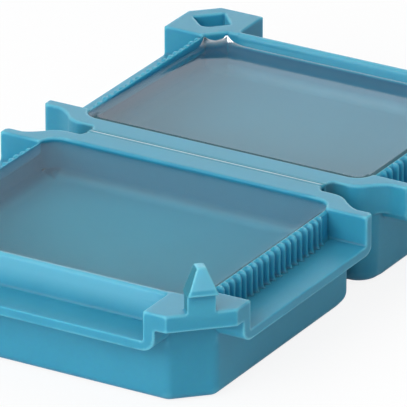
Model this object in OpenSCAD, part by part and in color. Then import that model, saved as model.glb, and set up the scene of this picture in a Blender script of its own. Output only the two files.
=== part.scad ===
// Gel-filled sealing box for a small cable splice, drawn open flat.
// Two half-shells lie side by side with a film hinge between them. Each one
// is a shallow tub full of sealing gel, with a comb of thin teeth on both
// cable sides. Two barbed hooks on the base catch in two eyes on the lid.
//
// Frame: X runs along the hinge line, the base is at -Y and the lid at +Y,
// and Z is up. The origin is under the middle of the hinge line, on the
// plane both tubs rest on. Each half is drawn once with Y as its reach from
// the hinge line, and the base is that half mirrored. In the names, back is
// the hinge side, front is the far side and right is +X.

/* [Overall] */
// Width over the side shelves
box_w = 44; // [42:0.5:48]
// Reach of each half from the hinge line to its front edge
half_reach = 36.3; // [35:0.1:40]
// Height of each half from its underside to its rim
half_h = 11.15; // [10:0.1:14]

/* [Tub] */
// Outside width of each tub below the shelves
tub_w = 37.5; // [37:0.1:38]
// Gap between the hinge line and the near wall of each tub
tub_back = 1.3; // [1.1:0.1:1.6]
// Gap between the front edge and the far wall of each tub
tub_front_gap = 3.15; // [2.8:0.05:3.6]
// Radius of the two vertical corners beside the hinge
back_corner_r = 2.75; // [1.5:0.25:3.25]
// Leg of the 45 degree cut on the two far vertical corners
front_corner_leg = 3.7; // [2.5:0.1:4.5]
// Radius along the bottom edges
bottom_r = 1.0; // [0.4:0.1:1.5]
// How much each wall leans in towards the floor
draft = 0.1; // [0:0.05:0.3]
// Floor thickness
floor_t = 1.0; // [0.8:0.1:1.8]

/* [Cavity] */
// Width of the gel cavity
cavity_w = 34.2; // [33.6:0.1:34.6]
// Start of the cavity, from the hinge line
cavity_back = 3.2; // [2.9:0.1:3.5]
// End of the cavity, from the hinge line
cavity_front = 30.6; // [30:0.1:31]
// Leg of the 45 degree cut on the two far cavity corners
cavity_leg = 1.8; // [1:0.1:2.4]
// Radius of the two cavity corners beside the hinge
cavity_r = 2.0; // [1:0.25:2.5]
// Depth of the base's gel surface below the rim
gel_drop = 0.35; // [0.2:0.05:1]
// Mean depth of the lid's gel surface below the rim
lid_gel_drop = 0.9; // [0.2:0.05:1.4]

/* [Flange] */
// Depth of the shelf and trough floors below the rim
shelf_drop = 3.3; // [2.8:0.1:3.6]
// Thickness of the shelf and trough floors
shelf_t = 1.05; // [0.8:0.05:1.4]
// Outside radius where a shelf turns up into an ear or a rib
ribbon_r = 1.45; // [0.8:0.05:1.8]
// Reach of the ears' hinge-side faces from the hinge line
ear_back = 3.65; // [3.4:0.05:4]
// Thickness of the ears
ear_t = 1.35; // [1:0.05:1.6]
// Thickness of the upright ribs at the corner plates
rib_t = 1.3; // [1:0.05:1.6]
// Reach of the corner plates' inner edge from the hinge line
plate_back = 28.5; // [27.5:0.1:29]
// Half the length of the front trough
trough_half = 14.1; // [13:0.1:15]
// Thickness of the corner plates
plate_t = 1.9; // [1.5:0.1:2.1]
// Leg of the 45 degree cut on the base's corner plates
base_leg = 5.2; // [4.8:0.1:5.6]
// Leg of the 45 degree cut on the lid's corner plates
lid_leg = 2.6; // [2:0.1:3]

/* [Front wall] */
// Reach of the outer face of the front wall at its top
wall_top = 31.5; // [31.3:0.05:31.7]
// Reach of the outer face of the front wall at the trough floor
wall_foot = 32.0; // [31.8:0.05:32.3]

/* [Combs] */
// Teeth in each comb
teeth = 21; // [15:1:24]
// Thickness of each comb, measured across the wall
comb_t = 0.8; // [0.6:0.05:0.9]
// Thickness of the thin web that joins the teeth
web_t = 0.2; // [0.15:0.05:0.3]
// Depth of the notches between the tooth tips
tip_drop = 0.45; // [0.2:0.05:0.8]

/* [Hinge] */
// Half the length of the film hinge
hinge_half = 14.0; // [12:0.5:15]
// Width of the thin film between the two lips
film_w = 0.5; // [0.4:0.05:0.8]
// Thickness of the thin film
film_t = 0.35; // [0.25:0.05:0.5]
// Length over which the notches beside the film open out
notch_end = 0.7; // [0.5:0.05:1.2]
// Thickness of the lips beside the film
lip_t = 1.2; // [0.8:0.1:1.6]

/* [Latches] */
// Width of the hook posts
post_w = 3.0; // [2.6:0.1:3.1]
// Thickness of the hook posts
post_t = 1.4; // [1.2:0.05:1.5]
// Height of the barb's underside above the rim
barb_z = 2.05; // [2.05:0.05:2.3]
// Reach of the barb beyond the post's outer face
barb_out = 0.78; // [0.5:0.02:0.8]
// Width of the barb at its underside
barb_w = 3.3; // [3.1:0.05:3.3]
// Height of the hook above the rim
hook_h = 4.9; // [4.5:0.1:5.5]
// Width of the hook at its tip
tip_w = 0.96; // [0.8:0.02:1.4]
// Thickness of the bar left outside each eye
eye_bar = 1.66; // [1.4:0.02:1.7]
// Length of each eye along the corner's diagonal
eye_len = 3.3; // [3:0.1:3.4]
// Width of each eye at its outer edge
eye_w = 3.5; // [3.45:0.05:3.7]
// Radius of the eye's inner corner nearest the side edge
eye_r = 0.9; // [0.3:0.1:1.2]
// Width of each eye at its inner edge
eye_w_in = 3.2; // [3.2:0.05:3.5]

/* [Hidden] */
$fn = 48;

shell_colour = [0.27, 0.58, 0.70];
gel_colour = [0.47, 0.63, 0.70, 0.6];
film_colour = [0.75, 0.90, 0.96];

overlap = 0.01; // small overlap where faces meet
clear = 1;      // how far cutters and sections run past a face
span = 60;      // longer than any piece

half_w = box_w / 2;
tub_x = tub_w / 2;
tub_front = half_reach - tub_front_gap;
cavity_x = cavity_w / 2;
shelf_top = half_h - shelf_drop;
shelf_bottom = shelf_top - shelf_t;
ear_front = ear_back + ear_t;
comb_len = plate_back - ear_front;

// Corner diagonal: places along it from the origin, and the offset across it
diagonal_offset = (half_reach - half_w) / sqrt(2);
base_face = (half_w + half_reach - base_leg) / sqrt(2);
lid_face = (half_w + half_reach - lid_leg) / sqrt(2);
eye_out = lid_face - eye_bar;

// ---- Helpers ----

// the children and their mirror image across the middle of the hinge line
module both() {
    children();
    mirror([1, 0, 0]) children();
}

// sweeps a section drawn in Y and Z along +X
module sweep_x(start, length) {
    translate([start, 0, 0]) rotate([90, 0, 90]) linear_extrude(length) children();
}

// sweeps a section drawn in X and Z along -Y
module sweep_y(start, length) {
    translate([0, start, 0]) rotate([90, 0, 0]) linear_extrude(length) children();
}

// extrudes a plan into a slab whose top is the rim
module rim_slab(thickness) {
    translate([0, 0, half_h - thickness]) linear_extrude(thickness) children();
}

// arc as points, about the centre [x, y]
function arc(x, y, radius, start, end, steps = 8) =
    [for (i = [0 : steps])
        let (angle = start + (end - start) * i / steps)
        [x + radius * cos(angle), y + radius * sin(angle)]];

// underside of a section from near to far, with both bottom corners rounded
function rounded_bottom(near, far, bottom, radius) = concat(
    arc(near + radius, bottom + radius, radius, 180, 270),
    arc(far - radius, bottom + radius, radius, 270, 360));

// plan with a 45 degree cut on its far corners and rounded near corners
module pan_plan(side, back, front, leg, radius) {
    difference() {
        translate([-side, back]) square([2 * side, front - back]);
        both() {
            translate([side, front]) rotate(45)
                square([leg * sqrt(2), leg * 3], center = true);
            difference() {
                translate([side - radius, back - clear])
                    square([radius + clear, radius + clear]);
                translate([side - radius, back + radius]) circle(r = radius);
            }
        }
    }
}

// ---- Tub and cavity ----

module tub_plan() {
    pan_plan(tub_x, tub_back, tub_front, front_corner_leg, back_corner_r);
}

// solid that fills the cavity outline from the floor up
module cavity_block(height) {
    translate([0, 0, floor_t]) linear_extrude(height)
        pan_plan(cavity_x, cavity_back, cavity_front, cavity_leg, cavity_r);
}

// upright section between two walls that lean in by the draft and round into
// the floor, reaching near and far to either side of its axis at the floor
// before the draft is taken off
module tub_section(near, far) {
    polygon(concat(
        [[far, half_h + clear], [-near, half_h + clear]],
        rounded_bottom(-near + draft, far - draft, 0, bottom_r)));
}

// limits the tub at the cut corner on the right
module corner_limit() {
    rotate([0, 0, 45]) sweep_y(span, 2 * span)
        tub_section(span, (tub_x + tub_front - front_corner_leg) / sqrt(2));
}

// the tub as a solid block, with drafted walls and a rounded bottom edge
module tub_block() {
    half_depth = (tub_front - tub_back) / 2;
    intersection() {
        linear_extrude(half_h) tub_plan();
        // side walls
        sweep_y(span, span) tub_section(tub_x, tub_x);
        // near and far walls
        sweep_x(-span / 2, span) translate([(tub_back + tub_front) / 2, 0])
            tub_section(half_depth, half_depth);
        // cut corners
        corner_limit();
        mirror([1, 0, 0]) corner_limit();
    }
}

// ---- Lip beside the film ----

// plan of the lip, with a concave curve at each end
module lip_plan() {
    depth = tub_back - film_w / 2;
    root = 0.5;      // overlap into the tub at the curved ends
    end_extra = 0.1; // length of each end beyond the notch length
    ease = 0.005;    // added to the curve's radius
    translate([-hinge_half, film_w / 2]) square([2 * hinge_half, depth + clear]);
    both() difference() {
        translate([hinge_half - overlap, film_w / 2])
            square([notch_end + end_extra, depth + root]);
        translate([hinge_half + notch_end + end_extra, film_w / 2])
            scale([notch_end / depth, 1]) circle(r = depth + ease);
    }
}

// lip with a sloped underside
module lip() {
    block = 3;                      // height and reach that hold the lip
    slope_start = film_w / 2 + 0.3; // reach where the underside starts to fall
    slope_end = tub_back + 0.6;     // reach where it levels out
    slope_drop = 1.2;
    thin_z = half_h - lip_t;
    intersection() {
        rim_slab(block) lip_plan();
        sweep_x(-span / 2, span)
            polygon([[0, half_h + clear], [0, thin_z], [slope_start, thin_z],
                     [slope_end, thin_z - slope_drop], [block, thin_z - slope_drop],
                     [block, half_h + clear]]);
    }
}

// ---- Shelves, ears, ribs and front wall ----

// plan of the smooth blend from the near wall out to the ear
module ear_blend_plan() {
    inner_x = tub_x - 4;
    outer_x = tub_x + 2.5;
    curve_x = tub_x - back_corner_r + 0.2;
    curve_len = 4.2;
    steps = 12;
    curve = [for (i = [0 : steps])
        let (t = i / steps)
        [curve_x + curve_len * t,
         tub_back + (ear_back - tub_back) * (1 - cos(180 * t)) / 2]];
    polygon(concat([[inner_x, ear_front], [inner_x, tub_back + 0.1]],
                   curve, [[outer_x, ear_back], [outer_x, ear_front]]));
}

// section of a strip bent up at both ends: outer faces at near and far,
// inner faces at start and end
module ribbon_section(near, far, start, end) {
    difference() {
        polygon(concat([[far, half_h], [near, half_h]],
                       rounded_bottom(near, far, shelf_bottom, ribbon_r)));
        translate([start, shelf_top]) square([end - start, shelf_drop + clear]);
    }
}

// one side shelf with its ear and its rib
module side_ribbon() {
    inner_x = cavity_x + 0.4;
    ear_tip_r = 0.5;
    difference() {
        sweep_x(inner_x, half_w - inner_x)
            ribbon_section(ear_back, plate_back + rib_t, ear_front, plate_back);
        // rounds the tip of the ear
        translate([half_w, ear_back, 0]) difference() {
            translate([-ear_tip_r, -ear_tip_r, -clear])
                cube([2 * ear_tip_r, 2 * ear_tip_r, half_h + 2 * clear]);
            translate([-ear_tip_r, ear_tip_r, -2 * clear])
                cylinder(r = ear_tip_r, h = half_h + 4 * clear);
        }
    }
}

// front trough with the two ribs at its ends
module front_ribbon() {
    inner_y = cavity_front + 0.8;
    far = trough_half + rib_t;
    sweep_y(half_reach, half_reach - inner_y)
        ribbon_section(-far, far, -trough_half, trough_half);
}

// wall between the gel and the trough, rounded along its top
module front_wall() {
    top_r = (wall_top - cavity_front) / 2;
    top_z = half_h - top_r;
    inner_y = cavity_front - overlap;
    root_z = shelf_top - 0.5;
    wall_half = trough_half + overlap;
    sweep_x(-wall_half, 2 * wall_half) {
        polygon([[inner_y, root_z], [wall_foot, root_z], [wall_foot, shelf_top],
                 [wall_top, top_z], [inner_y, top_z]]);
        translate([cavity_front + top_r, top_z]) circle(r = top_r);
    }
}

// openings cut in the tub walls above the shelves and the trough
module above_shelves() {
    translate([0, 0, shelf_top]) {
        both() translate([cavity_x - overlap, ear_front, 0])
            cube([half_w, comb_len, shelf_drop + clear]);
        translate([-trough_half, cavity_front - overlap, 0])
            cube([2 * trough_half, half_reach, shelf_drop + clear]);
    }
}

// tub, walls, shelves, ears and ribs of one half, without the corner plates
module half_body() {
    difference() {
        union() {
            difference() {
                tub_block();
                above_shelves();
            }
            front_wall();
            front_ribbon();
            both() {
                side_ribbon();
                translate([0, 0, shelf_top - overlap])
                    linear_extrude(shelf_drop + overlap) ear_blend_plan();
            }
            lip();
        }
        cavity_block(half_h);
    }
}

// ---- Corner plates, on the right-hand side ----

module plate_plan(leg) {
    polygon([[cavity_x - 3, plate_back], [half_w, plate_back],
             [half_w, half_reach - leg], [half_w - leg, half_reach],
             [trough_half, half_reach], [trough_half, plate_back]]);
}

// solid corner plate of the base
module corner_plate() {
    difference() {
        rim_slab(plate_t) plate_plan(base_leg);
        cavity_block(half_h);
    }
}

// corner plate of the lid outside the tub and between its two ribs, with
// the eye
module eye() {
    rim_slab(plate_t) difference() {
        plate_plan(lid_leg);
        tub_plan();
        // the two ribs
        translate([trough_half - clear, plate_back - clear]) {
            square([half_w, rib_t + clear]);
            square([rib_t + clear, half_reach]);
        }
        // the eye; its arc ends just short of a full quarter
        rotate(45) translate([eye_out, diagonal_offset])
            polygon(concat(
                [[0, -eye_w / 2], [0, eye_w / 2], [-eye_len, eye_w_in / 2]],
                arc(-eye_len + eye_r, -eye_w_in / 2 + eye_r, eye_r, 180, 268)));
    }
}

// ---- Comb, gel and hook ----

// comb on the right-hand side: a web with a row of teeth
module comb() {
    pitch = comb_len / teeth;
    half = pitch / 2;
    root = half - 0.06;      // half-width at the web
    root_x = web_t + 0.05;   // where a tooth starts to narrow
    crest = half * 0.42;     // half-width at the outer face
    tip = half * 0.45;       // half-width at the top
    notch_z = shelf_drop - tip_drop;
    translate([cavity_x, ear_front, shelf_top]) cube([web_t, comb_len, notch_z]);
    for (i = [0 : teeth - 1])
        translate([cavity_x, ear_front + pitch * (i + 0.5), shelf_top]) intersection() {
            linear_extrude(shelf_drop)
                polygon([[0, -root], [root_x, -root], [comb_t, -crest],
                         [comb_t, crest], [root_x, root], [0, root]]);
            sweep_x(0, comb_t + clear)
                polygon([[-half, 0], [half, 0], [half, notch_z], [tip, shelf_drop],
                         [-tip, shelf_drop], [-half, notch_z]]);
        }
}

// the gel fill of one half
module gel(drop) {
    cavity_block(half_h - drop - floor_t);
}

// barbed hook on the right-hand corner plate, drawn with X out along the
// corner's diagonal and Z up from the rim
module hook() {
    reach = 5;         // more than half the hook's size in plan
    nose_in = 0.08;    // how far the barb's nose leans back
    nose_h = 0.55;     // height of the nose
    tip_x = -0.02;     // outer edge of the tip
    translate([0, 0, half_h]) rotate([0, 0, 45]) translate([base_face, diagonal_offset, 0])
        intersection() {
            sweep_y(reach, 2 * reach)
                polygon([[-post_t, 0], [0, 0], [0, barb_z], [barb_out, barb_z],
                         [barb_out - nose_in, barb_z + nose_h],
                         [tip_x, hook_h], [-post_t, hook_h]]);
            sweep_x(-reach, 2 * reach)
                polygon([[-post_w / 2, 0], [post_w / 2, 0], [post_w / 2, barb_z],
                         [barb_w / 2, barb_z], [tip_w / 2, hook_h], [-tip_w / 2, hook_h],
                         [-barb_w / 2, barb_z], [-post_w / 2, barb_z]]);
        }
}

// ---- Nodes ----

module base_shell() {
    color(shell_colour) mirror([0, 1, 0]) {
        half_body();
        both() corner_plate();
    }
}

module lid_shell() { color(shell_colour) half_body(); }

module film_hinge() {
    color(film_colour) translate([-hinge_half, -film_w / 2, half_h - film_t])
        cube([2 * hinge_half, film_w, film_t]);
}

module base_gel() { color(gel_colour) mirror([0, 1, 0]) gel(gel_drop); }
module lid_gel() { color(gel_colour) gel(lid_gel_drop); }

module base_comb_right() { color(shell_colour) mirror([0, 1, 0]) comb(); }
module base_comb_left() { mirror([1, 0, 0]) base_comb_right(); }
module lid_comb_right() { color(shell_colour) comb(); }
module lid_comb_left() { color(shell_colour) mirror([1, 0, 0]) comb(); }

module latch_hook_right() { color(shell_colour) mirror([0, 1, 0]) hook(); }
module latch_hook_left() { mirror([1, 0, 0]) latch_hook_right(); }
module latch_eye_right() { color(shell_colour) eye(); }
module latch_eye_left() { color(shell_colour) mirror([1, 0, 0]) eye(); }

base_shell();
lid_shell();
film_hinge();
base_gel();
lid_gel();
base_comb_left();
base_comb_right();
lid_comb_left();
lid_comb_right();
latch_hook_left();
latch_hook_right();
latch_eye_left();
latch_eye_right();
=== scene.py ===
"""A small hinged box in translucent teal plastic, lying open and flat, with gel in both halves.

The hinge line runs along X at y = 0. The base lies towards -Y and the lid towards +Y, both with
their rims up, in the plane z = H. "Front" is the end of either half that is far from the hinge.
Both halves are worked on folded together: x is |X| and depth is |Y|, the distance from the hinge
line. Lengths are in mm until a piece is finished.
"""
import math
import bpy
import bmesh
import numpy as np
from mathutils import Matrix, Vector


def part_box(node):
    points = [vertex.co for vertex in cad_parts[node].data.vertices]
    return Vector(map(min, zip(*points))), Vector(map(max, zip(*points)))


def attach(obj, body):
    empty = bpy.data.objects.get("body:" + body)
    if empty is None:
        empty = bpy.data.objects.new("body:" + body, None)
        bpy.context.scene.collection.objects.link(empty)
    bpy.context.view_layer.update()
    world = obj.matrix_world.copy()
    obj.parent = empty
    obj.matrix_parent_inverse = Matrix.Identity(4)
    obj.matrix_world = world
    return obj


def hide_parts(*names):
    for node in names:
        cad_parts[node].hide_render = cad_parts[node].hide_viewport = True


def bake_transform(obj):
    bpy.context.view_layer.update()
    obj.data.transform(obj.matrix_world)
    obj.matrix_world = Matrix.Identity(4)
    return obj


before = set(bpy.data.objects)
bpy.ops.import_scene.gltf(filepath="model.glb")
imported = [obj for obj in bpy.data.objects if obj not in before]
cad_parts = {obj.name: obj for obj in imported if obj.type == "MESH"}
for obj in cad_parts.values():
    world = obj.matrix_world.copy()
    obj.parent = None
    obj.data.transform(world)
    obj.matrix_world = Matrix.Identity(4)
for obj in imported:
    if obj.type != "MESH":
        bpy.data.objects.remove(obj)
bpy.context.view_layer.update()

# ---------------------------------------------------------------- driving dimensions, in mm
MM = 0.001
ROOT2 = math.sqrt(2)


def mm_box(node):
    lo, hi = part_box(node)
    return np.array(lo) * 1000, np.array(hi) * 1000


shell_lo, shell_hi = mm_box("base_shell")
H = float(shell_hi[2])                       # rim plane
REACH = float(-shell_lo[1])                  # hinge line to front edge
HALF_W = float(shell_hi[0])

gel_lo, gel_hi = mm_box("base_gel")
CAV_X = float(gel_hi[0])                     # cavity: side wall
CAV_BACK = float(-gel_hi[1])                 # wall beside the hinge
CAV_FRONT = float(-gel_lo[1])                # front wall
FLOOR = float(gel_lo[2])
CAV_CUT_LEG = 1.8                            # legs of the cut front corners
CAV_HINGE_R = 2.0                            # upright corners beside the hinge
CAV_FLOOR_R = 2.3                            # wall to floor

comb_lo, comb_hi = mm_box("base_comb_right")
COMB_START, COMB_END = float(-comb_hi[1]), float(-comb_lo[1])
COMB_FOOT = float(comb_lo[2])
COMB_T = float(comb_hi[0] - comb_lo[0])
TEETH = 21

film_lo, film_hi = mm_box("film_hinge")

TUB_X = 18.75                                # tub: outer side wall
TUB_FRONT_INSET = 3.15
TUB_FRONT = REACH - TUB_FRONT_INSET
TUB_CUT = (TUB_X + REACH - TUB_FRONT_INSET - 3.7) / ROOT2    # cut corner, along the diagonal
TUB_BACK = 1.3                               # wall beside the hinge
TUB_HINGE_R = 2.75                           # upright corners beside the hinge
SHELF_Z = COMB_FOOT
SHELF_UNDER = SHELF_Z - 1.05
ROOT_Z = H + 0.35                            # where each hook is cut free of the moulding

scene = bpy.context.scene
collection = scene.collection


# ---------------------------------------------------------------- mesh helpers
def to_mesh(bm, name="part"):
    me = bpy.data.meshes.new(name)
    bm.to_mesh(me)
    bm.free()
    return me


def closed_mesh(bm):
    bmesh.ops.recalc_face_normals(bm, faces=bm.faces)
    return to_mesh(bm)


def add_object(name, data):
    ob = bpy.data.objects.new(name, data)
    collection.objects.link(ob)
    return ob


def work_object(bm, name):
    return add_object(name, to_mesh(bm, name))


def copy_mm(node):
    """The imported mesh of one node, in mm."""
    bm = bmesh.new()
    bm.from_mesh(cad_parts[node].data)
    bmesh.ops.scale(bm, vec=(1000, 1000, 1000), verts=bm.verts)
    bmesh.ops.remove_doubles(bm, verts=bm.verts, dist=0.002)
    return bm


def bake(ob):
    """A new mesh of ob as its modifiers leave it."""
    bpy.context.view_layer.update()
    graph = bpy.context.evaluated_depsgraph_get()
    return bpy.data.meshes.new_from_object(ob.evaluated_get(graph))


def apply_modifiers(ob):
    me = bake(ob)
    old = ob.data
    ob.modifiers.clear()
    ob.vertex_groups.clear()
    ob.data = me
    bpy.data.meshes.remove(old)


def drop(ob):
    me = ob.data
    bpy.data.objects.remove(ob)
    if me and me.users == 0:
        bpy.data.meshes.remove(me)


def union(first, others):
    """The exact union of work objects, which are used up."""
    for other in others:
        mod = first.modifiers.new("join", "BOOLEAN")
        mod.operation = "UNION"
        mod.solver = "EXACT"
        mod.object = other
    me = bake(first)
    for ob in others + [first]:
        drop(ob)
    bm = bmesh.new()
    bm.from_mesh(me)
    bpy.data.meshes.remove(me)
    return bm


def merge_flats(bm):
    bmesh.ops.remove_doubles(bm, verts=bm.verts, dist=0.003)
    bmesh.ops.dissolve_degenerate(bm, edges=bm.edges, dist=0.002)
    bmesh.ops.dissolve_limit(bm, angle_limit=math.radians(0.5), use_dissolve_boundaries=False,
                             verts=bm.verts, edges=bm.edges, delimit=set())
    loose = [v for v in bm.verts if not v.link_faces]
    bmesh.ops.delete(bm, geom=loose, context="VERTS")


def bisect(bm, z, **clear):
    geom = list(bm.verts) + list(bm.edges) + list(bm.faces)
    return bmesh.ops.bisect_plane(bm, geom=geom, plane_co=(0, 0, z), plane_no=(0, 0, 1), **clear)


def join_rings(bm, first, second):
    """Faces between two closed rings of as many vertices."""
    n = len(first)
    for j in range(n):
        k = (j + 1) % n
        bm.faces.new((first[j], first[k], second[k], second[j]))


def coords(me):
    co = np.zeros(len(me.vertices) * 3, np.float32)
    me.vertices.foreach_get("co", co)
    return co.reshape(-1, 3).astype(float)


def set_coords(me, co):
    me.vertices.foreach_set("co", co.astype(np.float32).ravel())
    me.update()


def fold(co):
    """x, depth and z of points, with both sides and both halves laid on one another."""
    return np.abs(co[:, 0]), np.abs(co[:, 1]), co[:, 2]


def unfold(co, x, depth, z):
    """Folded points put back in the quarters that co lies in."""
    return np.column_stack([np.sign(co[:, 0]) * x, np.sign(co[:, 1]) * depth, z])


def set_attribute(me, name, values, domain="POINT"):
    attribute = me.attributes.new(name, "FLOAT", domain)
    attribute.data.foreach_set("value", np.asarray(values, np.float32))


def relax(ob, iterations, mask=None):
    """Smooths the mesh in ob, where mask (a weight per vertex) says."""
    mod = ob.modifiers.new("relax", "SMOOTH")
    mod.factor = 0.5
    mod.iterations = iterations
    if mask is not None:
        group = ob.vertex_groups.new(name="relax")
        tenths = np.clip((mask * 10).round().astype(int), 0, 10)
        for k in range(1, 11):
            index = np.nonzero(tenths == k)[0]
            if len(index):
                group.add([int(i) for i in index], k / 10, "REPLACE")
        mod.vertex_group = "relax"
    apply_modifiers(ob)


def voxel_skin(ob, size):
    """An even skin over ob, which closes its seams."""
    mod = ob.modifiers.new("skin", "REMESH")
    mod.mode = "VOXEL"
    mod.voxel_size = size
    mod.adaptivity = 0
    apply_modifiers(ob)


def thin_out(ob, ratio):
    mod = ob.modifiers.new("thin", "DECIMATE")
    mod.ratio = ratio
    mod.use_collapse_triangulate = True
    apply_modifiers(ob)


def fall(value, full, zero):
    """1 where value is at most full, falling to 0 at zero."""
    return np.clip((zero - value) / (zero - full), 0, 1)


def rise(value, start, span):
    """0 up to start, rising to 1 over span."""
    return np.clip((value - start) / span, 0, 1)


def ease(t):
    return t * t * (3 - 2 * t)


def piece(name, me):
    """A finished piece in metres, shaded smooth, from a mesh in mm."""
    me.transform(Matrix.Scale(MM, 4))
    me.name = name
    me.materials.clear()
    ob = add_object(name, me)
    me.polygons.foreach_set("use_smooth", [True] * len(me.polygons))
    return ob


def weighted(ob):
    mod = ob.modifiers.new("normals", "WEIGHTED_NORMAL")
    mod.mode = "FACE_AREA"
    mod.weight = 50
    mod.keep_sharp = True
    return ob


# ---------------------------------------------------------------- cavity distances
def cavity_gaps(x, depth):
    """Distances in from the side, hinge and front walls and from the cut corner, as four rows."""
    return np.stack([CAV_X - x, depth - CAV_BACK, CAV_FRONT - depth,
                     (CAV_X + CAV_FRONT - CAV_CUT_LEG - x - depth) / ROOT2])


def hinge_end_gap(x, depth, beyond):
    """Distance in from the hinge wall and its round corners; beyond is used further out."""
    centre_x, centre_depth = CAV_X - CAV_HINGE_R, CAV_BACK + CAV_HINGE_R
    out = np.hypot(np.maximum(x - centre_x, 0), np.maximum(centre_depth - depth, 0))
    at_end = depth < centre_depth
    return np.where((x > centre_x) & at_end, CAV_HINGE_R - out,
                    np.where(at_end, depth - CAV_BACK, beyond))


# ---------------------------------------------------------------- rounding of the shells
def pull_to_arc(a, b, radius, where):
    """Moves points of a square inner corner, at a = b = 0, onto an arc that touches both sides."""
    dist = np.hypot(a - radius, b - radius)
    hit = where & (a < radius) & (b < radius) & (dist > radius)
    k = np.where(hit, radius / np.maximum(dist, 1e-6), 1.0)
    return (np.where(hit, radius + (a - radius) * k, a),
            np.where(hit, radius + (b - radius) * k, b), hit)


def round_tub_corners(co):
    """Rounds the upright edges of the two cut corners, under the shelves."""
    x, depth, z = fold(co)
    lean = 0.1 * (H + 1 - z) / H                 # the walls' draft
    # the bottom edge's own rounding, 1 mm in radius
    inset = np.where(z < 1, 1 - np.sqrt(np.clip(1 - (1 - z) ** 2, 0, 1)), 0.0)
    radius = 1.4 * fall(z, full=5.6, zero=SHELF_UNDER + 0.25) + 0.05
    want = radius - inset
    for at_side in (True, False):
        if at_side:
            centre_x = TUB_X - lean - radius
            centre_depth = (TUB_CUT - lean - radius) * ROOT2 - centre_x
            start, end = 0.0, math.pi / 4
        else:
            centre_depth = TUB_FRONT - lean - radius
            centre_x = (TUB_CUT - lean - radius) * ROOT2 - centre_depth
            start, end = math.pi / 4, math.pi / 2
        out_x, out_depth = x - centre_x, depth - centre_depth
        dist = np.hypot(out_x, out_depth)
        angle = np.arctan2(out_depth, out_x)
        hit = ((angle > start) & (angle < end) & (dist > want)
               & (dist < 1.1 * radius + 0.1) & (z < SHELF_Z - 0.9))
        k = np.where(hit, want / np.maximum(dist, 1e-6), 1.0)
        x = centre_x + out_x * k
        depth = centre_depth + out_depth * k
    return unfold(co, x, depth, z)


def round_hinge_corners(co):
    """Rounds the bottom edge at the tub corners beside the hinge, fading out along both walls."""
    x, depth, z = fold(co)
    centre_x, centre_depth = TUB_X - TUB_HINGE_R, TUB_BACK + TUB_HINGE_R
    out_x, out_depth = np.maximum(x - centre_x, 0), np.maximum(centre_depth - depth, 0)
    dist = np.hypot(out_x, out_depth)
    inward = TUB_HINGE_R - dist
    weight = (fall(np.maximum(centre_x - x, 0), full=0.0, zero=4.5)
              * fall(np.maximum(depth - centre_depth, 0), full=0.0, zero=5.5))
    where = (weight > 0.02) & (dist > 1e-4) & (inward > -0.5)
    inward, new_z, hit = pull_to_arc(inward, z, 1.35 * weight, where)
    k = np.where(hit, (TUB_HINGE_R - inward) / np.maximum(dist, 1e-6), 1.0)
    new_x = np.where(hit & (out_x > 0), centre_x + out_x * k, x)
    new_depth = np.where(hit & (out_depth > 0), centre_depth - out_depth * k, depth)
    return unfold(co, new_x, new_depth, new_z)


def round_cavity_floor(co):
    """Runs the cavity's walls into its floor with a wide radius."""
    x, depth, z = fold(co)
    gaps = cavity_gaps(x, depth)
    outward = np.array([[1, 0], [0, -1], [0, 1], [math.sqrt(0.5), math.sqrt(0.5)]])
    nearest = np.argmin(gaps, axis=0)
    gap = gaps[nearest, np.arange(len(x))]
    up = z - FLOOR
    new_gap, new_up, _ = pull_to_arc(gap, up, CAV_FLOOR_R, (gap > -0.12) & (up > -0.12))
    step = gap - new_gap
    normal = outward[nearest]
    return unfold(co, x + normal[:, 0] * step, depth + normal[:, 1] * step, new_up + FLOOR)


# ---------------------------------------------------------------- where the shells are relaxed
def cavity_floor_mask(x, depth, z):
    """Where the cavity's walls meet its floor."""
    wall = np.minimum.reduce([np.abs(x - CAV_X), np.abs(depth - CAV_BACK),
                              np.abs(depth - CAV_FRONT)])
    inside = ((x < CAV_X + 0.1) & (depth > CAV_BACK - 0.1) & (depth < CAV_FRONT + 0.1)
              & (z > 0.5))
    corner = np.hypot(np.minimum(wall, 3), np.abs(z - FLOOR))
    return np.where(inside & (z < FLOOR + 2.0), fall(corner, full=0.7, zero=1.6), 0.0)


def front_rim_mask(x, depth, z):
    """The cavity's rim edge on the front wall."""
    edge = np.where(x < 15.5, np.hypot(depth - CAV_FRONT, z - H), 9.0)
    return fall(edge, full=0.3, zero=0.6)


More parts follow.
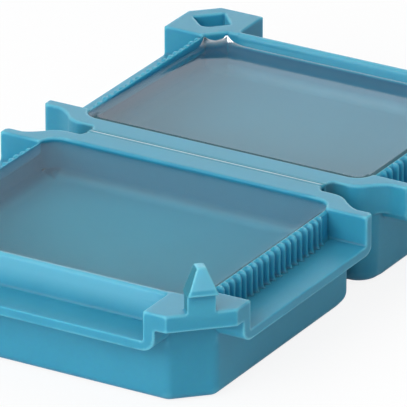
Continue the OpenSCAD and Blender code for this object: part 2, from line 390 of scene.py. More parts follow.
def edges_mask(x, depth, z, is_base):
    """Edges and turns that are softened together, each with its own reach."""
    # front wall: full round outside, running out into the trough floor
    top = np.hypot(depth - 31.5, z - (H - 0.3))
    foot = np.hypot(depth - 32.1, z - (H - 3.3))
    mask = fall(x, full=12.6, zero=13.6) * np.maximum(fall(top, full=0.7, zero=1.5),
                                                      fall(foot, full=0.5, zero=1.1))
    if is_base:
        back = np.where(x < CAV_X - 0.3, np.hypot(depth - CAV_BACK, z - H), 9.0)
        mask = np.maximum(mask, fall(back, full=0.35, zero=0.75))
    # upright edges of the corner plates
    leg = 5.2 if is_base else 2.6
    side = np.hypot(x - HALF_W, depth - (REACH - leg))
    front = np.hypot(x - (HALF_W - leg), depth - REACH)
    plate = np.where(z > H - 2.1, np.maximum(fall(side, full=0.35, zero=0.9),
                                             fall(front, full=0.35, zero=0.9)), 0)
    mask = np.maximum(mask, 0.8 * plate)
    # where the shelf floors turn up into the ears and the plates' ribs
    turn = np.minimum(np.hypot(depth - 5.0, z - SHELF_Z), np.hypot(depth - 28.5, z - SHELF_Z))
    mask = np.maximum(mask, np.where(x > 18.2, fall(turn, full=0.5, zero=1.0), 0))
    # cavity corners under the plates, at the rim
    cut = np.hypot((x + depth) / ROOT2 - (CAV_X + CAV_FRONT - CAV_CUT_LEG) / ROOT2, z - H)
    by_cut = (x > 15.0) & (x < 17.4) & (depth > 28.5) & (depth < 30.9)
    strength = 0.4 if is_base else 1.0
    return np.maximum(mask, np.where(by_cut, fall(cut, full=0.35, zero=0.8), 0) * strength)


def rib_mask(x, depth, z):
    """Where the ribs under the plates meet the tub's corner."""
    under = np.minimum(np.hypot(x - TUB_X - 0.2, depth - 29.9),
                       np.hypot(x - 15.1, depth - TUB_FRONT - 0.2))
    return np.where((z < H - 2.0) & (z > 3.2), fall(under, full=1.3, zero=2.6)
                    * fall(np.abs(z - 6.3), full=2.2, zero=3.2), 0)


def shell_skin(work, is_base):
    """The moulding's skin: one closed surface, with the soft edges a moulding has."""
    def now():
        return fold(coords(work.data))

    voxel_skin(work, size=0.12)
    relax(work, 4)
    set_coords(work.data, round_tub_corners(coords(work.data)))
    relax(work, 60, mask=cavity_floor_mask(*now()))
    set_coords(work.data, round_cavity_floor(round_hinge_corners(coords(work.data))))
    relax(work, 14, mask=front_rim_mask(*now()))
    relax(work, 34, mask=edges_mask(*now(), is_base))
    relax(work, 110, mask=rib_mask(*now()))
    thin_out(work, ratio=0.17)
    me = work.data.copy()
    drop(work)
    tint_shell(me, is_base)
    return me


# ---------------------------------------------------------------- painted light and shade weights of the shells
def painted_glow_weight(x, depth, z):
    """Painted light: the front wall's top and the hooks, where the moulding lets light through, are
    painted lighter.
    """
    wall = (0.7 * fall(x, full=13.0, zero=14.1) * fall(np.abs(depth - 31.3), full=0.8, zero=1.3)
            * rise(z, start=H - 2.8, span=1.6))
    hook = (rise(z, start=H + 1.9, span=0.25)
            * (0.2 + 0.8 * rise(z, start=H + 2.62, span=0.14)))
    return np.maximum(wall, hook)


def painted_rim_and_slot_shade_weight(signed_x, x, depth, z, is_base):
    """Painted shade: a dark line along the lid's rim where the gel meets it, and dark slots beside
    the film hinge.
    """
    edge = np.abs(hinge_end_gap(x, depth, beyond=CAV_X - x))
    near_rim = (z > H - 0.5) & (depth < 29) & (x < CAV_X + 0.5) & (signed_x > -15.0)
    slot = np.where((x > 13.8) & (depth < 1.75) & (z < H - 0.06),
                    fall(x, full=14.7, zero=16.6), 0)
    if is_base:
        return 0.5 * slot
    return np.maximum(np.where(near_rim, fall(edge, full=0.05, zero=0.17), 0), 0.5 * slot)


def cavity_weights(depth, z, gap, is_base):
    """Painted shade and light inside the cavity, under the gel: walls painted darker, and the well
    lit floor painted lighter.
    """
    if is_base:
        gel_top = np.full(len(z), H - 0.42)
        wall_rise, painted_floor_light = 1.1, rise(gap, start=0.9, span=2.6)
    else:
        gel_top = H - 0.36 - 1.2 * (depth - CAV_BACK) / (CAV_FRONT - CAV_BACK)
        wall_rise, painted_floor_light = 7.0, rise(gap, start=-0.2, span=6.0)
    inside = (gap > -0.25) & (z < gel_top)
    up = rise(z - FLOOR, start=0.02, span=wall_rise)
    painted_wall_shade = np.where(inside, ease(up) * rise(gel_top - z, start=0, span=0.25), 0)
    return painted_wall_shade, np.where(inside & (z < FLOOR + 0.3), painted_floor_light, 0)


def curvature(me, co):
    """How sharply the surface turns outwards at each vertex, averaged twice with its neighbours."""
    me.update()
    n = len(me.vertices)
    normals = np.zeros(n * 3)
    me.vertex_normals.foreach_get("vector", normals)
    normals = normals.reshape(-1, 3)
    ends = np.zeros(len(me.edges) * 2, dtype=np.int64)
    me.edges.foreach_get("vertices", ends)
    ends = ends.reshape(-1, 2)
    along = co[ends[:, 0]] - co[ends[:, 1]]
    turn = normals[ends[:, 0]] - normals[ends[:, 1]]
    per_edge = (along * turn).sum(1) / np.maximum((along * along).sum(1), 1e-4)
    count = np.maximum(np.bincount(ends.ravel(), minlength=n).astype(float), 1)
    curve = np.bincount(ends.ravel(), np.repeat(per_edge, 2), minlength=n) / count
    for _ in range(2):
        other = np.stack([curve[ends[:, 1]], curve[ends[:, 0]]], 1).ravel()
        around = np.bincount(ends.ravel(), other, minlength=n)
        curve = 0.5 * curve + 0.5 * around / count
    return curve


def flank_weight(me, is_base):
    """Per face: the flanks of the hooks, which stay in shade."""
    centre, normal = np.zeros(len(me.polygons) * 3), np.zeros(len(me.polygons) * 3)
    me.polygons.foreach_get("center", centre)
    me.polygons.foreach_get("normal", normal)
    centre, normal = centre.reshape(-1, 3), normal.reshape(-1, 3)
    across = np.abs(normal[:, 0] * np.sign(centre[:, 0])
                    - normal[:, 1] * np.sign(centre[:, 1])) / ROOT2
    x, depth, z = fold(centre)
    return (rise(across, start=0.6, span=0.25) * (z > H + 0.3) * (x > 15) * (depth > 31)
            * float(is_base))


def tint_shell(me, is_base):
    """Stores the weights that the plastic's shader tints by: painted light and shade, and where
    scattering stops.
    """
    co = coords(me)
    x, depth, z = fold(co)
    gap = cavity_gaps(x, depth).min(axis=0)
    painted_wall_shade, painted_floor_light = cavity_weights(depth, z, gap, is_base)
    curve = curvature(me, co)
    root = np.zeros(len(z))
    if is_base:
        root = (fall(np.abs(z - ROOT_Z), full=0.35, zero=1.2)
                * fall(np.hypot(x - 18.4, depth - 32.7), full=2.6, zero=3.2))
    weights = {
        "thin": painted_glow_weight(x, depth, z),
        "painted_rim_and_slot_shade": painted_rim_and_slot_shade_weight(co[:, 0], x, depth, z, is_base),
        "painted_wall_shade": painted_wall_shade,
        "painted_floor_light": painted_floor_light,
        # painted highlight along outward edges
        "lip": rise(curve, start=0.35, span=1.3),                             # outward edges
        # painted shade in inward edges
        "painted_crease_shade": 0.45 * rise(-curve, start=0.25, span=1.2) * (gap < -0.3),     # inward edges
        # painted shade, greyer, on the lid's cavity walls
        "painted_grey_shade": painted_wall_shade * float(not is_base),
        "root": root,                                                         # round the hooks' feet
    }
    for name, values in weights.items():
        set_attribute(me, name, values)
    set_attribute(me, "flank", flank_weight(me, is_base), domain="FACE")


# ---------------------------------------------------------------- shells and hooks
def cut_off(me, z, keep_above):
    """One side of a closed mesh cut by a level plane, closed by a flat face with sharp edges."""
    bm = bmesh.new()
    bm.from_mesh(me)
    cut = bisect(bm, z, dist=1e-5, clear_inner=keep_above, clear_outer=not keep_above)
    rim = [g for g in cut["geom_cut"] if isinstance(g, bmesh.types.BMEdge)]
    open_rim = [e for e in rim if len(e.link_faces) == 1]
    for face in bmesh.ops.holes_fill(bm, edges=open_rim, sides=0)["faces"]:
        for edge in face.edges:
            edge.smooth = False
    bmesh.ops.recalc_face_normals(bm, faces=bm.faces)
    return bm


def base_and_hooks():
    """Base and hooks are skinned as one, then cut apart at the hooks' roots."""
    base_work = work_object(copy_mm("base_shell"), "base_work")
    hook_works = []
    for side in ("left", "right"):
        bm = copy_mm(f"latch_hook_{side}")
        merge_flats(bm)
        for v in bm.verts:                   # the foot runs down into the plate
            if v.co.z < H + 0.01:
                v.co.z = H - 0.5
        hook_works.append(work_object(bm, f"hook_{side}_work"))
    whole = shell_skin(work_object(union(base_work, hook_works), "base_work"), is_base=True)
    low = cut_off(whole, ROOT_Z, keep_above=False)
    base = weighted(piece("base_moulding", to_mesh(low)))
    found = {}
    for side, sx in (("left", -1), ("right", 1)):
        bm = cut_off(whole, ROOT_Z, keep_above=True)
        bmesh.ops.delete(bm, geom=[v for v in bm.verts if v.co.x * sx < 0], context="VERTS")
        for k in range(1, 8):                # level cuts up the hook
            bisect(bm, ROOT_Z + 0.2 * k, dist=1e-4)
        found[side] = weighted(piece(f"snap_hook_{side}", to_mesh(bm)))
    return base, found


def lid_moulding():
    works = [work_object(copy_mm(node), node + "_work")
             for node in ("lid_shell", "latch_eye_left", "latch_eye_right")]
    work = work_object(union(works[0], works[1:]), "lid_work")
    return weighted(piece("lid_moulding", shell_skin(work, is_base=False)))


base_ob, hooks = base_and_hooks()
lid_ob = lid_moulding()


# ---------------------------------------------------------------- combs
COMB_STEPS = 16                              # sections per tooth
COMB_WEB_T = 0.34                            # thickness between the ribs
COMB_WEB_TOP = H - 0.24


def comb_section(t):
    """(x, z) points of the comb cut across at tooth number t."""
    tooth = min(math.floor(t), TEETH - 1)
    phase = t - tooth + 0.05 * math.sin(tooth * 3.7)
    off_crest = min(1.0, abs(2 * phase - 1))     # 1 in the valley, 0 on the crest
    wobble = 0.04 * math.sin(tooth * 2.4 + 0.7) + 0.03 * math.sin(tooth * 5.1)
    slope = rise(off_crest, start=0.12 + 0.5 * wobble, span=0.62)
    bump = 0.5 + 0.5 * math.cos(math.pi * slope)
    bump *= ease(rise(t, start=0.5, span=1.6))   # the row starts flat by the hinge
    crest = H - 0.42 + (0.16 + wobble) * bump
    crest_x = CAV_X + 0.24 + 0.20 * bump
    face_x = CAV_X + COMB_WEB_T + (COMB_T - COMB_WEB_T + 0.5 * wobble) * bump
    bend = 0.22 + 0.22 * bump                    # height of the bend from crest to face
    # up the inner side and over to the crest
    points = [(CAV_X + 0.05, COMB_FOOT - 0.25), (CAV_X + 0.03, COMB_FOOT - 0.02),
              (CAV_X, COMB_FOOT + 0.15), (CAV_X, COMB_FOOT + 1.0),
              (CAV_X, COMB_WEB_TOP - 0.5), (CAV_X, COMB_WEB_TOP - 0.14),
              (CAV_X + 0.02, COMB_WEB_TOP - 0.04), (CAV_X + 0.09, COMB_WEB_TOP),
              (CAV_X + 0.16, COMB_WEB_TOP + (crest - COMB_WEB_TOP) * 0.6), (crest_x, crest)]
    for k in range(1, 7):
        angle = math.radians(90 - 90 * k / 6)
        points.append((crest_x + (face_x - crest_x) * math.cos(angle),
                       crest - bend * (1 - math.sin(angle))))
    # down the rib's face and out along the shelf
    return points + [(face_x, crest - bend - 0.4), (face_x, COMB_FOOT + 0.7),
                     (face_x + 0.02, COMB_FOOT + 0.4), (face_x + 0.08, COMB_FOOT + 0.18),
                     (face_x + 0.20, COMB_FOOT + 0.04), (face_x + 0.34, COMB_FOOT - 0.03),
                     (face_x + 0.34, COMB_FOOT - 0.25)]


def comb_mesh(sx, sy):
    """A row of rounded ribs standing on the outside of a thin web, each with a pointed tip."""
    n = TEETH * COMB_STEPS
    rows = [(COMB_START + (COMB_END - COMB_START) * i / n, comb_section(i / COMB_STEPS))
            for i in range(n + 1)]
    rows.insert(0, (COMB_START - 0.3, rows[0][1]))
    rows.append((COMB_END + 0.3, rows[-1][1]))
    bm = bmesh.new()
    rings = [[bm.verts.new((sx * x, sy * depth, z)) for x, z in points]
             for depth, points in rows]
    for first, second in zip(rings, rings[1:]):
        join_rings(bm, first, second)
    bm.faces.new(list(reversed(rings[0])))
    bm.faces.new(rings[-1])
    me = closed_mesh(bm)
    x, _, z = fold(coords(me))
    # painted light: the ribs' tips are painted lighter, twice as strongly on the base's right comb
    strength = 0.6 if sx > 0 and sy < 0 else 0.3
    set_attribute(me, "thin", strength * rise(z, start=H - 1.1, span=0.9)
                  * rise(x - CAV_X, start=0.3, span=0.3))
    return me


combs = {}
for half, sy in (("base", -1), ("lid", 1)):
    for side, sx in (("left", -1), ("right", 1)):
        combs[(half, side)] = piece(f"{half}_teeth_{side}", comb_mesh(sx, sy))


# ---------------------------------------------------------------- film hinge
def film_mesh():
    """The thin web, level with the rims, with a fine raised fold line along its middle."""
    end_y = float(film_hi[1]) + 0.12             # runs 0.12 into each lip
    end_x = float(film_hi[0]) + 0.12
    start_y = -end_y
    ys = np.concatenate([np.linspace(start_y, -0.13, 6), np.linspace(-0.1, 0.1, 11),
                         np.linspace(0.13, end_y, 6)])
    xs = np.linspace(-end_x, end_x, 61)
    top_z, bottom_z = H - 0.004, float(film_lo[2])
    bm = bmesh.new()
    top, bottom = [], []
    for x in xs:
        top_row, bottom_row = [], []
        for y in ys:
            ridge = 0.022 * math.exp(-(y / 0.055) ** 2)
            dip = 0.05 * math.exp(-((abs(y) - 0.14) / 0.05) ** 2)
            hollow = 0.02 * math.exp(-(y / 0.1) ** 2)
            top_row.append(bm.verts.new((x, y, top_z + ridge - dip)))
            bottom_row.append(bm.verts.new((x, y, bottom_z + hollow)))
        top.append(top_row)
        bottom.append(bottom_row)
    for t0, t1, b0, b1 in zip(top, top[1:], bottom, bottom[1:]):
        for j in range(len(ys) - 1):
            bm.faces.new((t0[j], t1[j], t1[j + 1], t0[j + 1]))
            bm.faces.new((b0[j], b0[j + 1], b1[j + 1], b1[j]))
        bm.faces.new((t0[0], b0[0], b1[0], t1[0]))
        bm.faces.new((t0[-1], t1[-1], b1[-1], b0[-1]))
    for j in range(len(ys) - 1):
        bm.faces.new((top[0][j], top[0][j + 1], bottom[0][j + 1], bottom[0][j]))
        bm.faces.new((top[-1][j], bottom[-1][j], bottom[-1][j + 1], top[-1][j + 1]))
    me = closed_mesh(bm)
    set_attribute(me, "fold_line", [
        math.exp(-(v.co.y / 0.075) ** 2) * rise(end_x - abs(v.co.x), start=0, span=0.5)
        if v.co.z > H - 0.1 else 0.0 for v in me.vertices])
    return me


film_ob = piece("film_web", film_mesh())


# ---------------------------------------------------------------- gel fills
GEL_CLIMB_FADE = 0.40                        # how far from the wall the climb dies out
# distances in from the wall of the rings across the gel's top
GEL_RINGS = [0.0, 0.04, 0.08, 0.13, 0.18, 0.25, 0.34, 0.42, 0.5, 0.58, 0.66, 0.74, 0.82, 0.92,
             1.02, 1.12, 1.24, 1.36, 1.5, 1.64, 1.8]
GEL_INNER_SCALES = (0.9, 0.78, 0.64, 0.48, 0.3, 0.14)        # of the last ring, to the middle
GEL_WALL_ANGLES = (0, 15, 30, 45, 60, 78)                    # down the wall's bottom radius
# (x, depth) ends of the cavity's cut corner
CUT_ENDS = ((CAV_X, CAV_FRONT - CAV_CUT_LEG), (CAV_X - CAV_CUT_LEG, CAV_FRONT))


def gel_ring(inset):
    """(x, depth) points of the cavity's outline, moved in by inset."""
    side, back, front = CAV_X - inset, CAV_BACK + inset, CAV_FRONT - inset
    cut = CAV_X + CAV_FRONT - CAV_CUT_LEG - inset * ROOT2
    cut_y, cut_x = cut - side, cut - front       # the cut corner's ends on side and front
    radius = CAV_HINGE_R - inset
    centre_x, centre_y = CAV_X - CAV_HINGE_R, CAV_BACK + CAV_HINGE_R
    near = 3                                     # finer points within this of the cut corner

    def line(start, end, n):
        return [(start[0] + (end[0] - start[0]) * (k / n),
                 start[1] + (end[1] - start[1]) * (k / n)) for k in range(n)]

    def arc(middle_x, start):
        angles = [math.radians(start + 90 * k / 12) for k in range(12)]
        return [(middle_x + radius * math.cos(a), centre_y + radius * math.sin(a))
                for a in angles]

    corners = [(side, centre_y), (side, cut_y - near), (side, cut_y), (cut_x, front),
               (cut_x - near, front), (near - cut_x, front), (-cut_x, front),
               (-side, cut_y), (-side, cut_y - near), (-side, centre_y)]
    points = line((-centre_x, back), (centre_x, back), 60) + arc(centre_x, -90)
    for start, end, n in zip(corners, corners[1:], (36, 20, 20, 20, 44, 20, 20, 20, 36)):
        points += line(start, end, n)
    return points + arc(-centre_x, 180)


def gel_level(half, x, y, inset):
    """Height of the gel's top, which climbs where it meets the walls."""
    if half == "base":
        z = H - 0.42
        z += 0.03 * math.sin(0.21 * x + 0.5) * math.sin(0.19 * y)
        climb = 0.14
    else:                                        # the lid's gel sinks towards the front
        run = (y - CAV_BACK) / (CAV_FRONT - CAV_BACK)
        z = H - 0.36 - 1.20 * run
        peak = 0.0
        for end_x, end_y in CUT_ENDS:
            for sx, strength in ((-1, 1.0), (1, 0.8)):
                dist = math.hypot(x - sx * end_x, y - end_y)
                peak = max(peak, strength * math.exp(-dist / 0.62))
        cut = math.exp(-((abs(x) - 16.2) ** 2 + (y - 29.7) ** 2))
        climb = 0.14 + 0.16 * run + (0.95 * peak + 0.22 * cut)
    return z + climb * math.exp(-max(inset, 0) / GEL_CLIMB_FADE)


def tint_gel(me, half):
    """Stores the wall's shadow line on the gel's edge, and the glint of the lid's front edge."""
    co = coords(me)
    x, depth, z = fold(co)
    centre_depth = CAV_BACK + CAV_HINGE_R
    right = np.where((co[:, 0] > 0) & (depth >= centre_depth), CAV_X - x, 99.0)
    if half == "lid":
        run = rise(depth, start=CAV_BACK, span=CAV_FRONT - CAV_BACK)
        shadow = 1.155 * (0.12 + 1.2 * run)      # widens as the gel sinks
        at_hinge = hinge_end_gap(x, depth, beyond=99.0)
        line = np.maximum(fall(at_hinge, full=0.86, zero=1.06)
                          * rise(co[:, 0], start=-16.6, span=0.8),
                          fall(right - shadow, full=0.26, zero=0.48))
        line = line * rise(30.0 - depth, start=0, span=2.0)
        gap = cavity_gaps(x, depth)[[0, 2, 3]].min(axis=0)       # all but the hinge wall
        glint = (np.exp(-np.maximum(gap - 0.05, 0) / 0.16)
                 * rise(depth, start=27.6, span=1.2) * (z > H - 3.0))
    else:
        line = 0.5 * fall(right, full=0.14, zero=0.30)
        glint = np.zeros(len(z))
    set_attribute(me, "line", np.where(z > H - 2.0, line, 0))
    set_attribute(me, "glint", glint)


def gel_mesh(half):
    """A fill with a nearly level top; its walls and floor lie just outside the cavity's."""
    sy = -1 if half == "base" else 1
    last = gel_ring(GEL_RINGS[-1])
    mid_x = sum(p[0] for p in last) / len(last)
    mid_y = sum(p[1] for p in last) / len(last)
    # (outline, distance from the wall that sets its height)
    outlines = [(gel_ring(-0.04), 0.0)] + [(gel_ring(inset), inset) for inset in GEL_RINGS]
    for scale in GEL_INNER_SCALES:
        outlines.append(([(mid_x + (x - mid_x) * scale, mid_y + (y - mid_y) * scale)
                          for x, y in last], 3.0))
    bm = bmesh.new()
    rings = [[bm.verts.new((x, sy * y, gel_level(half, x, y, inset))) for x, y in points]
             for points, inset in outlines]
    for first, second in zip(rings, rings[1:]):
        join_rings(bm, first, second)
    middle = bm.verts.new((mid_x, sy * mid_y, gel_level(half, mid_x, mid_y, 5)))
    inner = rings[-1]
    for j in range(len(inner)):
        bm.faces.new((inner[j], inner[(j + 1) % len(inner)], middle))
    above = rings[0]
    for degrees in GEL_WALL_ANGLES:
        angle = math.radians(degrees)
        z = FLOOR + CAV_FLOOR_R * (1 - math.sin(angle)) - 0.03
        outline = gel_ring(CAV_FLOOR_R * (1 - math.cos(angle)) - 0.04)
        ring = [bm.verts.new((x, sy * y, z)) for x, y in outline]
        join_rings(bm, above, ring)
        above = ring
    ring = [bm.verts.new((v.co.x, v.co.y, FLOOR - 0.04)) for v in above]
    join_rings(bm, above, ring)
    bm.faces.new(ring)
    me = closed_mesh(bm)
    tint_gel(me, half)
    return me


gels = {half: piece(f"{half}_gel_fill", gel_mesh(half)) for half in ("base", "lid")}


# ---------------------------------------------------------------- shader helpers
def new_material(name):
    mat = bpy.data.materials.new(name)
    mat.use_nodes = True
    mat.node_tree.nodes.clear()
    return mat, mat.node_tree


def add(tree, kind, inputs=(), **settings):
    """A new node; inputs maps a socket's name or index to a value or to the output feeding it."""
    node = tree.nodes.new("ShaderNode" + kind)
    for key, value in settings.items():
        setattr(node, key, value)
    for key, value in dict(inputs).items():
        if isinstance(value, bpy.types.NodeSocket):
            tree.links.new(value, node.inputs[key])
        else:
            node.inputs[key].default_value = value
    return node


def noise(tree, scale, detail, roughness):
    """Noise in the object's own space."""
    place = add(tree, "TexCoord").outputs["Object"]
    return add(tree, "TexNoise", {"Vector": place, "Scale": scale, "Detail": detail,
                                  "Roughness": roughness})


def weight(tree, name):
    return add(tree, "Attribute", attribute_name=name).outputs["Fac"]


def calc(tree, operation, a, b):
    return add(tree, "Math", {0: a, 1: b}, operation=operation).outputs[0]


def mix_colour(tree, factor, a, b, blend="MIX"):
    node = add(tree, "Mix", data_type="RGBA", blend_type=blend)
    for key, value in (("Factor", factor), (6, a), (7, b)):
        if isinstance(value, bpy.types.NodeSocket):
            tree.links.new(value, node.inputs[key])
        else:
            node.inputs[key].default_value = value
    return node.outputs[2]


def mix_shader(tree, factor, a, b):
    return add(tree, "MixShader", {"Fac": factor, 1: a, 2: b}).outputs["Shader"]


def map_range(tree, value, low, high, start=0.0, end=1.0, **settings):
    """Maps start..end to low..high."""
    return add(tree, "MapRange", {"Value": value, "From Min": start, "From Max": end,
                                  "To Min": low, "To Max": high}, **settings).outputs["Result"]


def colour_ramp(tree, factor, *stops):
    node = add(tree, "ValToRGB", {"Fac": factor})
    for element, (position, colour) in zip(node.color_ramp.elements, stops):
        element.position = position
        element.color = colour
    return node.outputs["Color"]


def bump_normal(tree, height, strength, distance):
    return add(tree, "Bump", {"Height": height, "Strength": strength,
                              "Distance": distance}).outputs["Normal"]


def scaled(colour, *factors):
    return tuple(c * f for c, f in zip(colour, factors)) + (1,)


# ---------------------------------------------------------------- plastic and gel
def paint_light_and_shade(tree, colour, under):
    """Lays the shell's stored weights of painted light and shade over the colour under, one after
    another.
    """
    layers = [                                   # weight, its strength, colour
        # painted light: thin parts painted lighter, as if lit through
        ("thin", 1, (0.150, 0.510, 0.660, 1)),
        # painted shade: dark line at the lid's rim and in the hinge slots
        ("painted_rim_and_slot_shade", 1, (0.020, 0.090, 0.120, 1)),
        # painted highlight on outward edges
        ("lip", 0.5, (0.190, 0.560, 0.690, 1)),
        # painted shade in inward edges
        ("painted_crease_shade", 1, scaled(colour, 0.4, 0.62, 0.7)),
        # painted shade on the hooks' flanks
        ("flank", 1, scaled(colour, 0.7, 0.68, 0.64)),
        # painted shade on the cavity walls
        ("painted_wall_shade", 1, scaled(colour, 0.30, 0.62, 0.68)),
        # painted shade, greyer, on the lid's cavity walls
        ("painted_grey_shade", 1, scaled(colour, 3.2, 0.66, 0.70)),
        # painted light on the cavity floor
        ("painted_floor_light", 1, scaled(colour, 1.9, 1.32, 1.22)),
    ]
    for name, strength, tint in layers:
        factor = weight(tree, name)
        if strength != 1:
            factor = calc(tree, "MULTIPLY", factor, strength)
        under = mix_colour(tree, factor, under, tint)
    return under


def plastic_material(name, colour, is_film=False):
    """Satin translucent polypropylene."""
    mat, tree = new_material(name)
    # slow clouding in the colour, as moulded plastic flows, with a fine speckle on it
    clouds = noise(tree, scale=140.0, detail=3.0, roughness=0.5).outputs["Fac"]
    clouded = colour_ramp(tree, clouds, (0.3, scaled(colour, 0.86, 0.93, 0.94)),
                          (0.72, scaled(colour, 1.16, 1.05, 1.05)))
    speckle = noise(tree, scale=2600.0, detail=4.0, roughness=0.6).outputs["Color"]
    skin = mix_colour(tree, 0.06, clouded, speckle, blend="OVERLAY")
    if not is_film:
        skin = paint_light_and_shade(tree, colour, skin)
    # painted shade: creases found by ambient occlusion are darkened and deepened in colour, as light
    # that has bounced inside a crease would be
    occlusion = add(tree, "AmbientOcclusion", {"Distance": 0.0022}, samples=6).outputs["AO"]
    openness = map_range(tree, occlusion, low=0.0, high=1.0, start=0.1, end=0.8)
    crease_shade = mix_colour(tree, openness, (0.42, 0.78, 0.86, 1), (1, 1, 1, 1))
    skin = mix_colour(tree, 1.0, skin, crease_shade, blend="MULTIPLY")
    if is_film:
        skin = mix_colour(tree, weight(tree, "fold_line"), skin, (0.72, 0.93, 0.98, 1))
    grain = noise(tree, scale=900.0, detail=5.0, roughness=0.55).outputs["Fac"]
    body = add(tree, "BsdfPrincipled", {
        "Base Color": skin,
        "Roughness": map_range(tree, clouds, low=0.44, high=0.56),
        "IOR": 1.49,
        # no scattering below the skin beside the cut where each hook starts
        "Subsurface Weight": calc(tree, "SUBTRACT", 1.0, weight(tree, "root")),
        "Subsurface Radius": (0.6, 1.0, 1.0),
        "Subsurface Scale": 0.0011,
        "Sheen Weight": 0.06,
        "Sheen Roughness": 0.4,
        "Normal": bump_normal(tree, grain, strength=0.10, distance=0.00006),
    })
    add(tree, "OutputMaterial", {"Surface": body.outputs["BSDF"]})
    return mat


def gel_material(name, colour, clear, haze):
    """Clear sealing gel: bends light, a little milky, lets lamps through to the shell."""
    mat, tree = new_material(name)
    gel_ior = 1.41
    clouds = noise(tree, scale=70.0, detail=2.0, roughness=0.45).outputs["Fac"]
    clouded = colour_ramp(tree, clouds, (0.25, tuple(c * 0.94 for c in colour) + (1,)),
                          (0.75, tuple(min(1.0, c * 1.05) for c in colour) + (1,)))
    line = weight(tree, "line")
    # painted shadow: the gel darkens along the wall's shadow line
    tinted = mix_colour(tree, line, clouded, (0.05, 0.20, 0.24, 1))
    roughness = map_range(tree, clouds, low=0.06, high=0.10)
    ripple = noise(tree, scale=110.0, detail=1.5, roughness=0.4).outputs["Fac"]
    normal = bump_normal(tree, ripple, strength=0.05, distance=0.0001)
    glassy = add(tree, "BsdfPrincipled", {
        "Base Color": tinted, "IOR": gel_ior, "Transmission Weight": 1.0 - haze,
        "Roughness": roughness, "Normal": normal})
    # much of the surface only bends light: the gel's skin mirrors little
    bending = add(tree, "BsdfRefraction", {
        "Color": tinted, "IOR": gel_ior, "Roughness": roughness, "Normal": normal})
    body = mix_shader(tree, clear, glassy.outputs["BSDF"], bending.outputs["BSDF"])
    # the thin wet edge that climbs the front corners catches the lamps
    gloss = add(tree, "BsdfGlossy", {"Color": (0.95, 0.98, 1.0, 1), "Roughness": 0.12})
    glint = calc(tree, "MULTIPLY", weight(tree, "glint"), 0.75)
    body = mix_shader(tree, glint, body, gloss.outputs["BSDF"])
    # the wall's shadow in the gel's edge
    shade = add(tree, "BsdfDiffuse", {"Color": (0.030, 0.120, 0.155, 1)})
    body = mix_shader(tree, calc(tree, "MULTIPLY", line, 0.85), body, shade.outputs["BSDF"])
    # shadow and diffuse rays pass straight through
    path = add(tree, "LightPath").outputs
    passing = calc(tree, "MAXIMUM", path["Is Shadow Ray"], path["Is Diffuse Ray"])
    through = add(tree, "BsdfTransparent", {"Color": (0.93, 0.97, 0.98, 1)})
    surface = mix_shader(tree, passing, body, through.outputs["BSDF"])
    add(tree, "OutputMaterial", {"Surface": surface})
    return mat


TEAL = (0.036, 0.335, 0.490)
teal_plastic = plastic_material("teal_polypropylene", TEAL)
film_plastic = plastic_material("film_polypropylene", TEAL, is_film=True)
base_gel = gel_material("base_sealing_gel", (0.56, 0.88, 0.88), clear=0.70, haze=0.01)
lid_gel = gel_material("lid_sealing_gel", (0.56, 0.80, 0.80), clear=0.5, haze=0.04)

for ob in [base_ob, lid_ob] + list(combs.values()) + list(hooks.values()):
    ob.data.materials.append(teal_plastic)
film_ob.data.materials.append(film_plastic)
gels["base"].data.materials.append(base_gel)
gels["lid"].data.materials.append(lid_gel)

# ---------------------------------------------------------------- bodies
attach(base_ob, "base")
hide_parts("base_shell")
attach(lid_ob, "lid")
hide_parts("lid_shell", "latch_eye_left", "latch_eye_right")
for (half, side), ob in combs.items():
    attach(ob, half)
    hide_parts(f"{half}_comb_{side}")
for half, ob in gels.items():
    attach(ob, half)
    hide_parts(f"{half}_gel")
for side, ob in hooks.items():
    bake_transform(ob)
    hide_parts(f"latch_hook_{side}")
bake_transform(film_ob)
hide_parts("film_hinge")


# ---------------------------------------------------------------- floor, in metres
def floor_material():
    """Pale floor that glows to the camera, and less so in reflections."""
    mat, tree = new_material("pale_floor")
    diffuse = add(tree, "BsdfDiffuse", {"Color": (0.88, 0.88, 0.885, 1)})
    glow = add(tree, "Emission", {"Color": (1, 1, 1, 1), "Strength": 1.04})
    path = add(tree, "LightPath").outputs
    reflected = calc(tree, "MULTIPLY", path["Is Glossy Ray"], 0.35)
    seen = calc(tree, "MAXIMUM", path["Is Camera Ray"], reflected)
    surface = mix_shader(tree, calc(tree, "MULTIPLY", seen, 0.84),
                         diffuse.outputs["BSDF"], glow.outputs["Emission"])
    add(tree, "OutputMaterial", {"Surface": surface})
    return mat


FLOOR_HALF, FLOOR_Z = 2, -0.0002
floor_me = bpy.data.meshes.new("studio_floor")
floor_me.from_pydata([(sx * FLOOR_HALF, sy * FLOOR_HALF, FLOOR_Z)
                      for sx, sy in ((-1, -1), (1, -1), (1, 1), (-1, 1))], [], [(0, 1, 2, 3)])
floor = add_object("studio_floor", floor_me)
floor_me.materials.append(floor_material())


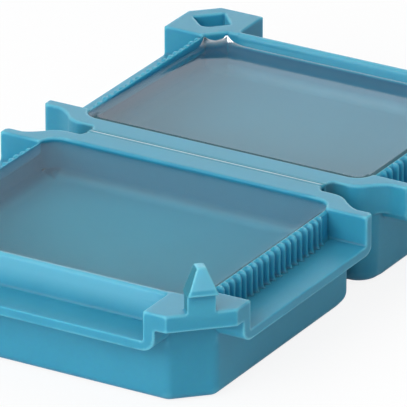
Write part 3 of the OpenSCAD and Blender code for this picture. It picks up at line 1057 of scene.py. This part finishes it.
# ---------------------------------------------------------------- world
def build_world():
    """Soft studio surroundings, brighter and dimmer by direction."""
    world = bpy.data.worlds.new("studio")
    scene.world = world
    world.use_nodes = True
    tree = world.node_tree
    tree.nodes.clear()
    direction = add(tree, "TexCoord").outputs["Generated"]
    x, y, z = add(tree, "SeparateXYZ", {0: direction}).outputs

    def ramp(value, start, end, low, high):
        return map_range(tree, value, low, high, start, end, interpolation_type="SMOOTHSTEP")

    # darker towards +X near the horizon, and a touch brighter there higher up
    horizon = ramp(x, start=-0.1, end=0.75, low=1.0, high=0.13)
    upper = ramp(x, start=-0.1, end=0.75, low=1.0, high=1.10)
    climb = ramp(z, start=0.2, end=0.65, low=0.0, high=1.0)
    # a darker stretch towards -X
    left = ramp(x, start=-0.98, end=-0.58, low=0.30, high=1.0)
    side = calc(tree, "ADD", calc(tree, "MULTIPLY", horizon, calc(tree, "SUBTRACT", 1.0, climb)),
                calc(tree, "MULTIPLY", upper, climb))
    back = ramp(y, start=0.2, end=0.9, low=0.75, high=0.95)
    # a bright patch beyond the lid, on the -X side
    towards_patch = add(tree, "VectorMath", {0: direction, 1: (-0.48, 0.82, 0.32)},
                        operation="DOT_PRODUCT").outputs["Value"]
    patch = ramp(towards_patch, start=0.86, end=0.99, low=0.0, high=1.4)
    # a little dimmer overhead
    overhead = ramp(z, start=0.40, end=0.90, low=1.0, high=0.56)
    total = side
    for factor in (back, overhead, left):
        total = calc(tree, "MULTIPLY", total, factor)
    background = add(tree, "Background", {"Color": (0.97, 0.985, 1.0, 1),
                                          "Strength": calc(tree, "ADD", total, patch)})
    add(tree, "OutputWorld", {"Surface": background.outputs["Background"]})


build_world()


# ---------------------------------------------------------------- lights, in metres and watts
def area_light(name, place, target, size, power, colour=(1, 1, 1)):
    light = bpy.data.lights.new(name, "AREA")
    light.shape = "RECTANGLE"
    light.size, light.size_y = size
    light.energy = power
    light.color = colour
    ob = add_object(name, light)
    ob.location = Vector(place)
    ob.rotation_mode = "QUATERNION"
    ob.rotation_quaternion = (Vector(target) - Vector(place)).to_track_quat("-Z", "Y")


area_light("key", place=(-0.08, -0.385, 0.288), target=(0, -0.01, 0.005), size=(0.34, 0.27),
           power=1.08, colour=(1.0, 0.99, 0.97))
area_light("fill", place=(0.05, -0.62, 0.26), target=(0, 0, 0.005), size=(0.4, 0.3), power=0.73)

# ---------------------------------------------------------------- camera
AZIMUTH, ELEVATION = math.radians(30.50), math.radians(23.72)    # from -Y towards +X, and up
CAM_DIST = 788.7                             # mm from the hinge line's middle at the rims
CAM_LEFT, CAM_DOWN = 0.22, 4.79              # mm, sideways shifts of the camera

back = Vector((math.cos(ELEVATION) * math.sin(AZIMUTH), -math.cos(ELEVATION) * math.cos(AZIMUTH),
               math.sin(ELEVATION)))
right = Vector((math.cos(AZIMUTH), math.sin(AZIMUTH), 0))
up = back.cross(right)
cam_data = bpy.data.cameras.new("photo_camera")
cam = add_object("photo_camera", cam_data)
place = back * CAM_DIST - right * CAM_LEFT - up * CAM_DOWN
cam.location = Vector((place.x, place.y, place.z + H)) * MM
cam.rotation_mode = "QUATERNION"
cam.rotation_quaternion = Matrix((right, up, back)).transposed().to_quaternion()
cam_data.sensor_width = 36
cam_data.lens = 672.856054
cam_data.clip_start = 0.05
cam_data.clip_end = 10
scene.camera = cam
scene.view_settings.view_transform = "Standard"
scene.view_settings.look = "None"
